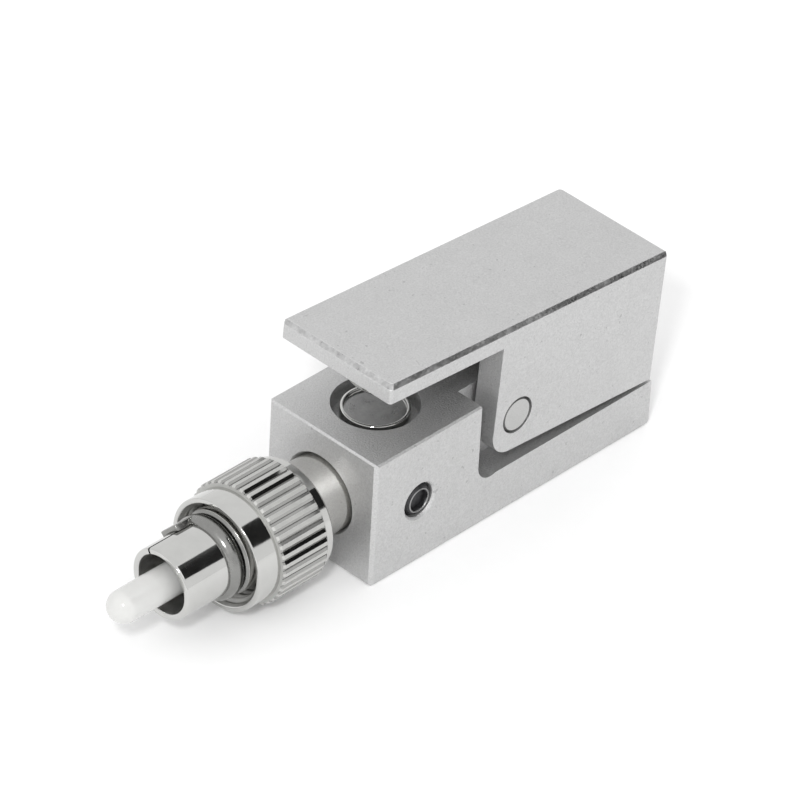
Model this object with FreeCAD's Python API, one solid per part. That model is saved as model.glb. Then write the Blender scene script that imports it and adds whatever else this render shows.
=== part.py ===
import FreeCAD, Part
import math
import os

# Bare fiber adapter with a screw-on round connector front and a rocking clamp lever.
# Frame: millimetres, +Z up, +X towards the ferrule tip, +Y the side with the set screw.
# The origin is the centre of the body's flat underside, straight below the hinge pin.

V = FreeCAD.Vector
ORIGIN = V(0, 0, 0)
X_AXIS = V(1, 0, 0)
Y_AXIS = V(0, 1, 0)
Z_AXIS = V(0, 0, 1)

# Body: front block, ear behind it, low rear ledge with a central rail
body_length = 31.0
body_width = 11.6
axis_height = 5.75
pin_above_axis = 2.9
top_above_pin = 2.85
ledge_below_axis = 1.55
rail_below_axis = 0.25
block_length = 11.4
edge_chamfer = 0.15
corner_radius = 1.5
corner_dip = 0.1
tongue_width = 6.4
ear_rear_x = -3.2
rail_groove_width = 1.0
spring_slot_width = 2.4
spring_slot_clearance = 0.1
rear_corner_radius = 0.5

# Hinge
pin_diameter = 3.0
pin_press_clearance = 0.005
pin_running_clearance = 0.08
pin_end_recess = 0.05
pin_end_chamfer = 0.15

# Clamp lever, sizes from the pin's axis with the lever level
rest_tilt_deg = 4.1
lever_front = 15.0
lever_rear = 15.7
lever_top = 8.7
plate_thickness = 1.6
cheek_front = 2.55
cheek_bottom = 3.1
cheek_corner_radius = 2.0
lever_slot_width = 7.0
lever_near_chamfer = 0.35
lever_far_chamfer = 0.08
web_front = -4.3
web_above_axis = 1.5

# Press button under the plate and stop cup in the block
stop_x = 9.6
button_diameter = 5.3
button_length = 2.95
button_edge = 0.3
stud_diameter = 2.4
stud_web = 0.2
stud_clearance = 0.01
pocket_x = 9.8
pocket_diameter = 7.0
pocket_floor_web = 0.9
cup_diameter = 5.5
cup_wall = 0.3
cup_rim_below_top = 0.25
cup_depth = 0.4
cup_rim_bevel = 0.1

# Clamp pads
pad_length = 8.0
pad_width = 4.0
pad_front_x = -5.8
pad_clearance = 0.02
lower_pad_thickness = 1.2
upper_pad_thickness = 1.5
pad_gap = 0.08
pad_groove_width = 0.36

# Return spring, a torsion coil round the pin between the two ears
spring_wire = 0.4
spring_bore_clearance = 0.05
spring_full_turns = 3
spring_pitch = 0.45
spring_leg_angle_deg = 50.0
spring_lower_leg = 3.5
spring_foot = 1.6
spring_touch_gap = 0.05
spring_wire_sides = 6
coil_runs_per_turn = 12

# Fiber guide tube
guide_outer = 1.2
guide_bore = 0.6
guide_clearance = 0.02
guide_flare = 2.0
guide_flare_depth = 0.5
guide_end_x = 21.4

# Set screw
screw_x = 10.5
screw_diameter = 3.0
screw_clearance = 0.03
screw_length = 2.0
screw_mouth_chamfer = 0.2
socket_across_flats = 1.5
socket_depth = 1.2
socket_sides = 6

# Connector body and its neck
neck_diameter = 6.5
neck_rear_x = 8.0
neck_fit = 0.03
neck_mouth_diameter = 7.0
neck_mouth_depth = 0.35
shoulder_wall = 0.55
shoulder_rear_x = 24.4
shoulder_front_x = 26.6
shoulder_chamfer = 0.2
cavity_rear_x = 17.5

# Barrel and key ring
barrel_diameter = 6.0
barrel_wall = 0.55
barrel_rear_x = 24.6
barrel_front_x = 32.3
barrel_rim_round = 0.25
barrel_rim_bevel = 0.12
barrel_press = 0.005
lip_bore = 3.6
lip_rear_x = 27.0
lip_thickness = 0.6
ring_wall = 0.5
ring_length = 1.4
ring_round = 0.45
corner_runs = 2
key_width = 2.1
key_height = 0.4
key_turn_deg = 46.0
key_tip_x = 29.3
key_tip_chamfer = 0.15

# Ferrule, its holder and its spring
ferrule_diameter = 2.5
ferrule_bore = 0.127
ferrule_rear_x = 25.2
ferrule_tip_x = 36.0
ferrule_tip_chamfer = 0.3
ferrule_cone_length = 0.8
ferrule_cone_mouth = 1.0
holder_clearance = 0.15
holder_front_gap = 0.05
holder_length = 3.3
holder_tail_clearance = 0.1
holder_tail_length = 1.0
holder_bore = 1.6
ferrule_spring_wire = 0.5
ferrule_spring_clearance = 0.2
ferrule_spring_turns = 4.5
end_gap = 0.05
overcut = 1.0
tolerance = 1e-4

# Dust cap over the ferrule
cap_wall = 0.09
cap_rear_x = 28.6
cap_clearance = 0.01
cap_mouth_chamfer = 0.03

# Coupling nut, which hangs low on its neck, and its thrust washer
nut_drop = 0.25
nut_front_x = 26.5
nut_band_wall = 0.7
nut_band_length = 2.2
nut_knurl_rise = 0.45
nut_knurl_length = 4.7
nut_rear_rise = 0.05
nut_rear_length = 1.1
nut_wall = 1.6
nut_thread_clearance = 0.45
nut_mouth_flare = 0.325
nut_mouth_depth = 0.35
nut_edge = 0.25
knurl_count = 40
knurl_depth = 0.12
knurl_land = 0.6
knurl_end_chamfer = 0.35
nut_neck_clearance = 0.28
washer_neck_clearance = 0.1
washer_clearance = 0.1
washer_thickness = 0.4
washer_gap = 0.05

# Heights that follow from the sizes above
pin_height = axis_height + pin_above_axis
body_height = pin_height + top_above_pin
ledge_height = axis_height - ledge_below_axis
rail_height = axis_height - rail_below_axis
web_height = axis_height + web_above_axis
cup_rim_z = body_height - cup_rim_below_top
pocket_floor_z = axis_height + neck_diameter / 2 + pocket_floor_web
stud_length = pocket_floor_web - stud_web
coil_radius = pin_diameter / 2 + spring_bore_clearance + spring_wire / 2
spring_slot_floor = pin_height - coil_radius - spring_wire / 2 - spring_slot_clearance
plate_underside = lever_top - plate_thickness

# Places along the part
body_front_x = body_length / 2
body_rear_x = -body_length / 2
block_rear_x = body_front_x - block_length
half_width = body_width / 2
pad_rear_x = pad_front_x - pad_length
holder_front_x = lip_rear_x - holder_front_gap
holder_rear_x = holder_front_x - holder_length

# Diameters of the connector, each from the barrel's
barrel_bore = barrel_diameter - 2 * barrel_wall
ring_diameter = barrel_diameter + 2 * ring_wall
shoulder_diameter = barrel_diameter + 2 * shoulder_wall
holder_diameter = barrel_bore - 2 * holder_clearance
ferrule_spring_diameter = barrel_bore - 2 * ferrule_spring_clearance
holder_tail_diameter = ferrule_spring_diameter - 2 * (ferrule_spring_wire + holder_tail_clearance)
nut_thread_diameter = shoulder_diameter + 2 * nut_thread_clearance
nut_mouth_diameter = nut_thread_diameter + 2 * nut_mouth_flare
nut_band_diameter = nut_thread_diameter + 2 * nut_band_wall
nut_knurl_diameter = nut_band_diameter + 2 * nut_knurl_rise
nut_rear_diameter = nut_band_diameter + 2 * nut_rear_rise
washer_diameter = nut_thread_diameter - 2 * (nut_drop + washer_clearance)
nut_rear_x = nut_front_x - nut_band_length - nut_knurl_length - nut_rear_length
washer_rear_x = nut_rear_x + nut_wall + washer_gap


def box(x0, x1, y0, y1, z0, z1):
    return Part.makeBox(x1 - x0, y1 - y0, z1 - z0, V(x0, y0, z0))


def flat_face(points):
    return Part.Face(Part.makePolygon(points + points[:1]))


def turned(points):
    """A closed outline of (x, radius) points turned round the fiber's axis."""
    outline = flat_face([V(x, 0, axis_height + r) for x, r in points])
    return outline.revolve(V(0, 0, axis_height), X_AXIS, 360)


def rounded_corner(x, radius, round_radius):
    """Outline points round a front outer corner, in two short runs."""
    points = []
    for i in range(corner_runs + 1):
        angle = math.pi / 2 * i / corner_runs
        points.append((x - round_radius + round_radius * math.sin(angle),
                       radius - round_radius + round_radius * math.cos(angle)))
    return points


def cylinder_x(x0, x1, diameter):
    return Part.makeCylinder(diameter / 2, x1 - x0, V(x0, 0, axis_height), X_AXIS)


def cylinder_z(x, z0, z1, diameter):
    return Part.makeCylinder(diameter / 2, z1 - z0, V(x, 0, z0), Z_AXIS)


def hinge_cylinder(diameter, width):
    return Part.makeCylinder(diameter / 2, width, V(0, -width / 2, pin_height), Y_AXIS)


def tilted(shape):
    """Turn a shape from the lever's level place to its place at rest, nose up."""
    turned_shape = shape.copy()
    turned_shape.rotate(V(0, 0, pin_height), Y_AXIS, -rest_tilt_deg)
    return turned_shape


def edges_where(shape, test):
    return [edge for edge in shape.Edges if test(edge.BoundBox)]


def flat(low, high, place):
    return abs(low - place) < tolerance and abs(high - place) < tolerance


def wire_along(points, wire_diameter):
    """Spring wire along short straight runs, with a section of few sides to keep the facets few."""
    start = points[0]
    direction = points[1] - points[0]
    turn = FreeCAD.Rotation(Z_AXIS, direction)
    corners = []
    for i in range(spring_wire_sides):
        angle = 2 * math.pi * i / spring_wire_sides
        corner = V(math.cos(angle), math.sin(angle), 0) * (wire_diameter / 2)
        corners.append(start + turn.multVec(corner))
    section = Part.makePolygon(corners + corners[:1])
    right_corners = 1
    return Part.makePolygon(points).makePipeShell([section], True, False, right_corners)


def coil_points(turns, radius, pitch):
    """Points (along the coil's axis, across, up) of a coil that starts at its lowest point."""
    count = round(turns * coil_runs_per_turn)
    points = []
    for i in range(count + 1):
        angle = 2 * math.pi * turns * i / count
        points.append((pitch * turns * i / count, -radius * math.sin(angle), -radius * math.cos(angle)))
    return points


def save(name, shape):
    clean = shape.removeSplitter()
    if clean.ShapeType == "Compound" and len(clean.Solids) == 1:
        clean = clean.Solids[0]
    clean.exportStep(os.path.join("parts", name + ".step"))
    print("%-16s solids %d valid %s volume %.3f" % (name, len(clean.Solids), clean.isValid(), clean.Volume))


def body_blank():
    """The L-shaped profile with the ear and the rail still one tongue."""
    blank = box(body_rear_x, body_front_x, -half_width, half_width, 0, body_height)
    sharp = edges_where(blank, lambda b: not flat(b.XMin, b.XMax, body_rear_x))
    blank = blank.makeChamfer(edge_chamfer, sharp)
    for side in (-1, 1):
        inner = side * tongue_width / 2
        outer = side * (half_width + overcut)
        y0, y1 = min(inner, outer), max(inner, outer)
        blank = blank.cut(box(body_rear_x - overcut, block_rear_x - corner_radius, y0, y1,
                              ledge_height, body_height + overcut))
        blank = blank.cut(box(block_rear_x - 2 * corner_radius, block_rear_x, y0, y1,
                              ledge_height - corner_dip + corner_radius, body_height + overcut))
        blank = blank.cut(Part.makeCylinder(
            corner_radius, y1 - y0,
            V(block_rear_x - corner_radius, y0, ledge_height - corner_dip + corner_radius), Y_AXIS))
    return blank


def body_block():
    shape = body_blank()
    shape = shape.cut(box(body_rear_x - overcut, ear_rear_x, -half_width, half_width,
                          rail_height, body_height + overcut))
    rear_corner = box(body_rear_x - overcut, body_rear_x + rear_corner_radius, -half_width, half_width,
                      -overcut, rear_corner_radius)
    round_centre = V(body_rear_x + rear_corner_radius, -half_width, rear_corner_radius)
    rear_round = Part.makeCylinder(rear_corner_radius, body_width, round_centre, Y_AXIS)
    shape = shape.cut(rear_corner.cut(rear_round))
    slot_half = spring_slot_width / 2
    shape = shape.cut(box(ear_rear_x - overcut, block_rear_x, -slot_half, slot_half,
                          spring_slot_floor, body_height + overcut))
    shape = shape.cut(hinge_cylinder(pin_diameter + 2 * pin_press_clearance, tongue_width + overcut))
    shape = shape.cut(rail_groove())
    shape = shape.cut(box(pad_rear_x - pad_clearance, pad_front_x + pad_clearance,
                          -pad_width / 2 - pad_clearance, pad_width / 2 + pad_clearance,
                          axis_height - lower_pad_thickness, body_height))
    guide_hole_diameter = guide_outer + 2 * guide_clearance
    shape = shape.cut(cylinder_x(ear_rear_x - overcut, neck_rear_x + overcut, guide_hole_diameter))
    shape = shape.cut(guide_flare_cone(guide_clearance))
    shape = shape.cut(neck_bore())
    shape = shape.cut(stop_pocket())
    return shape.cut(screw_hole())


def rail_groove():
    """The V along the rail that leads the fiber to the guide tube."""
    half = rail_groove_width / 2
    outline = [V(body_rear_x - overcut, -half, rail_height), V(body_rear_x - overcut, half, rail_height),
               V(body_rear_x - overcut, 0, rail_height - half)]
    return flat_face(outline).extrude(V(ear_rear_x - body_rear_x + overcut, 0, 0))


def guide_flare_cone(clearance):
    """The funnel mouth at the ear's rear face."""
    return Part.makeCone(guide_flare / 2 + clearance, guide_outer / 2 + clearance, guide_flare_depth,
                         V(ear_rear_x, 0, axis_height), X_AXIS)


def neck_bore():
    bore = cylinder_x(neck_rear_x - end_gap, body_front_x + overcut, neck_diameter + 2 * neck_fit)
    mouth = Part.makeCone(neck_diameter / 2 + neck_fit, neck_mouth_diameter / 2, neck_mouth_depth,
                          V(body_front_x - neck_mouth_depth, 0, axis_height), X_AXIS)
    return bore.fuse(mouth)


def stop_pocket():
    pocket = cylinder_z(pocket_x, pocket_floor_z, body_height + overcut, pocket_diameter)
    stud_hole = cylinder_z(pocket_x, pocket_floor_z - stud_length - end_gap, pocket_floor_z + end_gap,
                           stud_diameter + 2 * stud_clearance)
    return pocket.fuse(stud_hole)


def screw_hole():
    radius = screw_diameter / 2
    hole = Part.makeCylinder(radius, half_width, V(screw_x, 0, axis_height), Y_AXIS)
    mouth = Part.makeCone(radius, radius + screw_mouth_chamfer, screw_mouth_chamfer,
                          V(screw_x, half_width - screw_mouth_chamfer, axis_height), Y_AXIS)
    return hole.fuse(mouth)


def lever_profile():
    """Side outline of the lever in its level place: long plate above, cheeks below."""
    z = pin_height
    r = cheek_corner_radius
    low = V(-lever_rear, 0, z - cheek_bottom)
    arc_start = V(cheek_front - r, 0, z - cheek_bottom)
    along_diagonal = r * math.sqrt(0.5)
    arc_mid = V(cheek_front - r + along_diagonal, 0, z - cheek_bottom + r - along_diagonal)
    arc_end = V(cheek_front, 0, z - cheek_bottom + r)
    corner = V(cheek_front, 0, z + plate_underside)
    nose_low = V(lever_front, 0, z + plate_underside)
    nose_top = V(lever_front, 0, z + lever_top)
    tail_top = V(-lever_rear, 0, z + lever_top)
    edges = [Part.makeLine(low, arc_start), Part.Arc(arc_start, arc_mid, arc_end).toShape(),
             Part.makeLine(arc_end, corner), Part.makeLine(corner, nose_low),
             Part.makeLine(nose_low, nose_top), Part.makeLine(nose_top, tail_top),
             Part.makeLine(tail_top, low)]
    return Part.Face(Part.Wire(edges))


def clamp_lever():
    face = lever_profile()
    face.translate(V(0, -half_width, 0))
    lever = face.extrude(V(0, body_width, 0))
    top = pin_height + lever_top
    far_edges = edges_where(lever, lambda b: flat(b.ZMin, b.ZMax, top)
                            and (flat(b.XMin, b.XMax, -lever_rear) or flat(b.YMin, b.YMax, -half_width)))
    lever = lever.makeChamfer(lever_far_chamfer, far_edges)
    near_edges = edges_where(lever, lambda b: flat(b.ZMin, b.ZMax, top)
                             and (flat(b.XMin, b.XMax, lever_front) or flat(b.YMin, b.YMax, half_width)))
    lever = lever.makeChamfer(lever_near_chamfer, near_edges)
    slot_half = lever_slot_width / 2
    lever = lever.cut(box(web_front, cheek_front + overcut, -slot_half, slot_half,
                          pin_height - cheek_bottom - overcut, pin_height + plate_underside))
    lever = lever.cut(box(-lever_rear - overcut, web_front, -slot_half, slot_half,
                          pin_height - cheek_bottom - overcut, web_height))
    lever = lever.cut(hinge_cylinder(pin_diameter + 2 * pin_running_clearance, body_width + overcut))
    underside = pin_height + plate_underside
    lever = lever.cut(cylinder_z(stop_x, underside - end_gap, underside + stud_length + end_gap,
                                 stud_diameter + 2 * stud_clearance))
    return tilted(lever).cut(upper_pad_space())


def upper_pad_space():
    bottom = axis_height + pad_gap
    return box(pad_rear_x - pad_clearance, pad_front_x + pad_clearance,
               -pad_width / 2 - pad_clearance, pad_width / 2 + pad_clearance,
               bottom, bottom + upper_pad_thickness)


def hinge_pin():
    length = body_width - 2 * pin_end_recess
    pin = hinge_cylinder(pin_diameter, length)
    return pin.makeChamfer(pin_end_chamfer, edges_where(pin, lambda b: flat(b.YMin, b.YMax, b.YMin)))


def return_spring():
    """Two forward legs on a coil: one lies on the slot's floor, one lifts the plate."""
    angle = math.radians(spring_leg_angle_deg)
    turns = spring_full_turns + (180 - spring_leg_angle_deg) / 360
    width = spring_pitch * turns
    coil = [V(across, along - width / 2, pin_height + up)
            for along, across, up in coil_points(turns, coil_radius, spring_pitch)]
    lower_tip = V(spring_lower_leg, -width / 2, pin_height - coil_radius)
    tangent = V(math.cos(angle), 0, math.sin(angle))
    tilt = math.radians(rest_tilt_deg)
    along_plate = V(math.cos(tilt), 0, math.sin(tilt))
    plate_normal = V(-math.sin(tilt), 0, math.cos(tilt))
    coil_end_height = (coil[-1] - V(0, 0, pin_height)).dot(plate_normal)
    reach = plate_underside - spring_touch_gap - spring_wire / 2 - coil_end_height
    knee = coil[-1] + tangent * (reach / tangent.dot(plate_normal))
    upper_tip = knee + along_plate * spring_foot
    return wire_along([lower_tip] + coil + [knee, upper_tip], spring_wire)


def press_button():
    top = pin_height + plate_underside
    low = top - button_length
    button = cylinder_z(stop_x, low, top, button_diameter)
    button = button.makeChamfer(button_edge, edges_where(button, lambda b: flat(b.ZMin, b.ZMax, low)))
    stud = cylinder_z(stop_x, top - end_gap, top + stud_length, stud_diameter)
    return tilted(button.fuse(stud))


def stop_cup():
    cup = cylinder_z(pocket_x, pocket_floor_z, cup_rim_z, cup_diameter)
    rim_edges = edges_where(cup, lambda b: flat(b.ZMin, b.ZMax, cup_rim_z))
    cup = cup.makeChamfer(cup_rim_bevel, rim_edges)
    cup = cup.cut(cylinder_z(pocket_x, cup_rim_z - cup_depth, cup_rim_z + overcut,
                             cup_diameter - 2 * cup_wall))
    stud = cylinder_z(pocket_x, pocket_floor_z - stud_length, pocket_floor_z + end_gap, stud_diameter)
    return cup.fuse(stud)


def lower_clamp_pad():
    pad = box(pad_rear_x, pad_front_x, -pad_width / 2, pad_width / 2,
              axis_height - lower_pad_thickness, axis_height)
    half = pad_groove_width / 2
    outline = [V(pad_rear_x, -half, axis_height), V(pad_rear_x, half, axis_height),
               V(pad_rear_x, 0, axis_height - half)]
    return pad.cut(flat_face(outline).extrude(V(pad_length, 0, 0)))


def upper_clamp_pad():
    bottom = axis_height + pad_gap
    return box(pad_rear_x, pad_front_x, -pad_width / 2, pad_width / 2, bottom, bottom + upper_pad_thickness)


def guide_tube():
    """Fine tube from the ear's rear face to the ferrule holder, its rear end flared."""
    outer = guide_outer / 2
    bore = guide_bore / 2
    flare = guide_flare / 2
    wall = outer - bore
    return turned([(ear_rear_x, flare - wall), (ear_rear_x, flare),
                   (ear_rear_x + guide_flare_depth, outer), (guide_end_x, outer),
                   (guide_end_x, bore), (ear_rear_x + guide_flare_depth, bore)])


def set_screw():
    radius = screw_diameter / 2 - screw_clearance
    inner_y = neck_diameter / 2 + screw_clearance
    screw = Part.makeCylinder(radius, screw_length, V(screw_x, inner_y, axis_height), Y_AXIS)
    end_edges = edges_where(screw, lambda b: flat(b.YMin, b.YMax, b.YMin))
    screw = screw.makeChamfer(screw_mouth_chamfer, end_edges)
    outer_y = inner_y + screw_length
    corner = socket_across_flats / math.sqrt(3)
    step = 2 * math.pi / socket_sides
    points = [V(screw_x + corner * math.cos(step * i), outer_y - socket_depth,
                axis_height + corner * math.sin(step * i)) for i in range(socket_sides)]
    return screw.cut(flat_face(points).extrude(V(0, socket_depth + overcut, 0)))


def connector_body():
    """Neck held in the block, with the shoulder that keeps the nut on and the spring's cavity."""
    neck = neck_diameter / 2
    shoulder = shoulder_diameter / 2
    cavity = barrel_bore / 2
    bore = guide_outer / 2 + guide_clearance
    seat = barrel_diameter / 2 + barrel_press
    c = shoulder_chamfer
    return turned([(neck_rear_x, bore), (neck_rear_x, neck - c), (neck_rear_x + c, neck),
                   (shoulder_rear_x, neck), (shoulder_rear_x, shoulder - c), (shoulder_rear_x + c, shoulder),
                   (shoulder_front_x - c, shoulder), (shoulder_front_x, shoulder - c),
                   (shoulder_front_x, seat), (barrel_rear_x, seat), (barrel_rear_x, cavity),
                   (cavity_rear_x, cavity), (cavity_rear_x, bore)])


def connector_barrel():
    outer = barrel_diameter / 2
    bore = barrel_bore / 2
    lip = lip_bore / 2
    lip_front_x = lip_rear_x + lip_thickness
    rim = rounded_corner(barrel_front_x, outer, barrel_rim_round)
    return turned([(barrel_rear_x, bore), (barrel_rear_x, outer)] + rim
                  + [(barrel_front_x, bore + barrel_rim_bevel), (barrel_front_x - barrel_rim_bevel, bore),
                     (lip_front_x, bore), (lip_front_x, lip), (lip_rear_x, lip), (lip_rear_x, bore)])


def key_ring():
    """Rounded collar pressed on the barrel, with the key along it, turned away from the screw's side."""
    front_x = shoulder_front_x + ring_length
    outer = ring_diameter / 2
    ring = turned([(shoulder_front_x, 0), (shoulder_front_x, outer)]
                  + rounded_corner(front_x, outer, ring_round) + [(front_x, 0)])
    top = axis_height + barrel_diameter / 2 + key_height
    key = box(shoulder_front_x, key_tip_x, -key_width / 2, key_width / 2, axis_height, top)
    key = key.makeChamfer(key_tip_chamfer, edges_where(
        key, lambda b: flat(b.XMin, b.XMax, key_tip_x) and flat(b.ZMin, b.ZMax, top)))
    key.rotate(V(0, 0, axis_height), X_AXIS, key_turn_deg)
    bore = cylinder_x(shoulder_front_x - overcut, key_tip_x + overcut, barrel_diameter + 2 * barrel_press)
    return ring.fuse(key).cut(bore)


def ferrule():
    radius = ferrule_diameter / 2
    bore = ferrule_bore / 2
    tip = ferrule_tip_chamfer
    return turned([(ferrule_rear_x, ferrule_cone_mouth / 2), (ferrule_rear_x, radius),
                   (ferrule_tip_x - tip, radius), (ferrule_tip_x, radius - tip),
                   (ferrule_tip_x, bore), (ferrule_rear_x + ferrule_cone_length, bore)])


def ferrule_holder():
    """Flanged sleeve pressed on the ferrule's rear, resting behind the barrel's inner lip."""
    flange = holder_diameter / 2
    tail = holder_tail_diameter / 2
    seat = ferrule_diameter / 2 + barrel_press
    bore = holder_bore / 2
    tail_rear_x = holder_rear_x - holder_tail_length
    return turned([(tail_rear_x, bore), (tail_rear_x, tail), (holder_rear_x, tail), (holder_rear_x, flange),
                   (holder_front_x, flange), (holder_front_x, seat), (ferrule_rear_x, seat),
                   (ferrule_rear_x, bore)])


def ferrule_spring():
    rear = cavity_rear_x + end_gap + ferrule_spring_wire / 2
    front = holder_rear_x - end_gap - ferrule_spring_wire / 2
    radius = (ferrule_spring_diameter - ferrule_spring_wire) / 2
    pitch = (front - rear) / ferrule_spring_turns
    coil = [V(rear + along, across, axis_height + up)
            for along, across, up in coil_points(ferrule_spring_turns, radius, pitch)]
    return wire_along(coil, ferrule_spring_wire)


def dust_cap():
    inner = ferrule_diameter / 2 + cap_clearance
    outer = inner + cap_wall
    tip_x = ferrule_tip_x + end_gap
    c = cap_mouth_chamfer
    return turned([(cap_rear_x, inner + c), (cap_rear_x, outer - c), (cap_rear_x + c, outer)]
                  + rounded_corner(tip_x + outer, outer, outer)
                  + [(tip_x, 0), (tip_x, inner), (cap_rear_x + c, inner)])


def knurl_section(x, land_radius, groove_radius):
    """Corners across the knurl: a flat land, then a V groove, all the way round."""
    pitch = 2 * math.pi / knurl_count
    land_angle = pitch * knurl_land
    points = []
    for i in range(knurl_count):
        start = pitch * i
        groove = start + (pitch + land_angle) / 2
        corners = ((start, land_radius), (start + land_angle, land_radius), (groove, groove_radius))
        for angle, radius in corners:
            points.append(V(x, radius * math.cos(angle), axis_height + radius * math.sin(angle)))
    return points


def flat_sided_solid(sections):
    """A solid through closed rows of corners: each side is flat, or in two flats where it twists."""
    faces = [flat_face(sections[0]), flat_face(sections[-1])]
    for near, far in zip(sections, sections[1:]):
        for i in range(len(near)):
            a, b, c, d = near[i - 1], near[i], far[i], far[i - 1]
            twist = (b - a).cross(d - a).dot(c - a)
            if abs(twist) < tolerance * tolerance:
                faces.append(flat_face([a, b, c, d]))
            else:
                faces.append(flat_face([a, b, c]))
                faces.append(flat_face([a, c, d]))
    return Part.Solid(Part.Shell(faces))


def knurled_band(x0, x1):
    """Straight knurl round the nut, its lands and grooves running out to a bevel at both ends."""
    outer = nut_knurl_diameter / 2
    end_radius = outer - knurl_end_chamfer
    groove = outer - knurl_depth
    return flat_sided_solid([knurl_section(x0, end_radius, end_radius),
                             knurl_section(x0 + knurl_end_chamfer, outer, groove),
                             knurl_section(x1 - knurl_end_chamfer, outer, groove),
                             knurl_section(x1, end_radius, end_radius)])


def coupling_nut():
    knurl_front_x = nut_front_x - nut_band_length
    knurl_rear_x = nut_rear_x + nut_rear_length
    band = nut_band_diameter / 2
    rear = nut_rear_diameter / 2
    e = nut_edge
    core = turned([(nut_rear_x, 0), (nut_rear_x, rear - e), (nut_rear_x + e, rear), (knurl_rear_x, rear),
                   (knurl_rear_x, band), (nut_front_x - e, band), (nut_front_x, band - e), (nut_front_x, 0)])
    nut = core.fuse(knurled_band(knurl_rear_x, knurl_front_x))
    neck_hole = neck_diameter / 2 + nut_neck_clearance
    thread = nut_thread_diameter / 2
    wall_front_x = nut_rear_x + nut_wall
    bore = turned([(nut_rear_x - overcut, 0), (nut_rear_x - overcut, neck_hole), (wall_front_x, neck_hole),
                   (wall_front_x, thread), (nut_front_x - nut_mouth_depth, thread),
                   (nut_front_x, nut_mouth_diameter / 2), (nut_front_x + overcut, nut_mouth_diameter / 2),
                   (nut_front_x + overcut, 0)])
    nut = nut.cut(bore)
    nut.translate(V(0, 0, -nut_drop))
    return nut


def thrust_washer():
    inner = neck_diameter / 2 + washer_neck_clearance
    outer = washer_diameter / 2
    return turned([(washer_rear_x, inner), (washer_rear_x, outer),
                   (washer_rear_x + washer_thickness, outer), (washer_rear_x + washer_thickness, inner)])


os.makedirs("parts", exist_ok=True)
save("body_block", body_block())
save("clamp_lever", clamp_lever())
save("hinge_pin", hinge_pin())
save("return_spring", return_spring())
save("press_button", press_button())
save("stop_cup", stop_cup())
save("lower_clamp_pad", lower_clamp_pad())
save("upper_clamp_pad", upper_clamp_pad())
save("guide_tube", guide_tube())
save("set_screw", set_screw())
save("connector_body", connector_body())
save("connector_barrel", connector_barrel())
save("key_ring", key_ring())
save("ferrule", ferrule())
save("ferrule_holder", ferrule_holder())
save("ferrule_spring", ferrule_spring())
save("dust_cap", dust_cap())
save("coupling_nut", coupling_nut())
save("thrust_washer", thrust_washer())
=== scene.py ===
import math

import bmesh
import bpy
from mathutils import Matrix, Vector


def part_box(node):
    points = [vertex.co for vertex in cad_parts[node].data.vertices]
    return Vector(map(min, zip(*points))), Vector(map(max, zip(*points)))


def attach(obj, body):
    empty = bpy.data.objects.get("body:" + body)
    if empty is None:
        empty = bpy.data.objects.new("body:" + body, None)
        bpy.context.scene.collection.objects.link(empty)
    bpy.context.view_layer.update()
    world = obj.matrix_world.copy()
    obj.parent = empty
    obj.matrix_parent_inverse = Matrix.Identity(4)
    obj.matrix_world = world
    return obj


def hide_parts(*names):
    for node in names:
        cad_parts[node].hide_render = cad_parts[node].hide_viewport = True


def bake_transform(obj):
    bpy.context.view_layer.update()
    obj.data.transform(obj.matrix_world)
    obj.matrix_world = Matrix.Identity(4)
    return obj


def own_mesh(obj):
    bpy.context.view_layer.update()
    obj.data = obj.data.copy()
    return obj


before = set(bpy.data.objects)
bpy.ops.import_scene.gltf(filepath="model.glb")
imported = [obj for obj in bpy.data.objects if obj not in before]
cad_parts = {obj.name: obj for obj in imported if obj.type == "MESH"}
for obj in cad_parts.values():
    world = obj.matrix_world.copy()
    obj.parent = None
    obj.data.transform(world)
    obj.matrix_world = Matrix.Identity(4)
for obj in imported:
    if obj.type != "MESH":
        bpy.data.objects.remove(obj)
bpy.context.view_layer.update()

bl_info = {
    "name": "Bare fiber adapter",
    "version": (1, 0, 0),
    "blender": (4, 5, 0),
    "location": "View3D > Sidebar > Adapter",
    "description": "Builds the visible pieces, finishes and studio of a bare fiber adapter",
    "category": "Object",
}

MM = 0.001
AXIS_Z = sum(corner.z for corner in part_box("connector_barrel")) / 2
PIN_Z = sum(corner.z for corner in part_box("hinge_pin")) / 2
FIBER_AXIS = Vector((0, 0, AXIS_Z))
PIN_CENTRE = Vector((0, 0, PIN_Z))
BODY_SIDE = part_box("body_block")[1].y
REST_TILT = math.radians(4.1)
PLATE_UP = Vector((-math.sin(REST_TILT), 0, math.cos(REST_TILT)))
PLATE_FORWARD = Vector((math.cos(REST_TILT), 0, math.sin(REST_TILT)))
# How far the plate's underside lies above the pin, square to the plate
PLATE_UNDERSIDE = 7.1 * MM
KEY_TURN = math.radians(46.0)
SLIT_TURN = math.radians(28.0)
# Sizes that two pieces share: three radii and a length
SLEEVE_BORE = 2.45 * MM
SLEEVE_SEAT = 3.005 * MM
STUD_RADIUS = 1.2 * MM
HOLDER_FLANGE_LENGTH = 3.3 * MM
# Points in one turn of a spring
COIL_STEPS = 40


def linear(hex_colour):
    """Turn an sRGB hex colour into linear RGBA."""
    levels = [int(hex_colour[i:i + 2], 16) / 255 for i in (1, 3, 5)]
    return tuple(c / 12.92 if c <= 0.04045 else ((c + 0.055) / 1.055) ** 2.4 for c in levels) + (1.0,)


def colour_property(name, description, hex_colour):
    return bpy.props.FloatVectorProperty(name=name, description=description, subtype="COLOR", size=4,
                                         min=0, max=1, default=linear(hex_colour))


def length_property(name, description, millimetres):
    return bpy.props.FloatProperty(name=name, description=description, unit="LENGTH", precision=6,
                                   min=0, default=millimetres * MM)


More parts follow.
